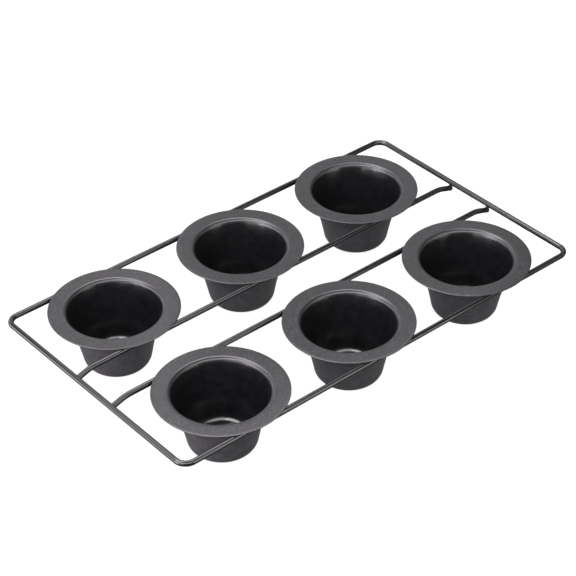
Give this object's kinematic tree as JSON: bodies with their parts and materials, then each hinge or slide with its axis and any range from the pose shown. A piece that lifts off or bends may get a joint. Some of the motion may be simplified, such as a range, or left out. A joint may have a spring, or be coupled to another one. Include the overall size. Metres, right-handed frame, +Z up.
{
  "type": "popover pan",
  "caption": "Popover pan: deep tapered cups with wide flat rims, welded side by side onto a flat rack of bent round wire.",
  "frame": {"origin": "under the middle of the pan, on the surface that the cups stand on", "axes": "+X along the rows of cups, towards the right end, +Y across the rows, from the front row to the back row, +Z up"},
  "size_m": [0.3974, 0.2364, 0.052],
  "materials": {
    "cup_coating": "satin charcoal non-stick coating on drawn carbon steel, darker inside the cups",
    "wire_coating": "satin charcoal non-stick coating on round steel wire",
    "weld_metal": "resistance welds under the same charcoal coating"
  },
  "bodies": {
    "root": {"cup_front_left": "cup_coating", "cup_front_middle": "cup_coating", "cup_front_right": "cup_coating", "cup_back_left": "cup_coating", "cup_back_middle": "cup_coating", "cup_back_right": "cup_coating", "flange_welds_front_left": "weld_metal", "flange_welds_front_middle": "weld_metal", "flange_welds_front_right": "weld_metal", "flange_welds_back_left": "weld_metal", "flange_welds_back_middle": "weld_metal", "flange_welds_back_right": "weld_metal", "frame_wire": "wire_coating", "rail_front": "wire_coating", "rail_back": "wire_coating", "rail_end_welds": "weld_metal"}
  },
  "joints": []
}
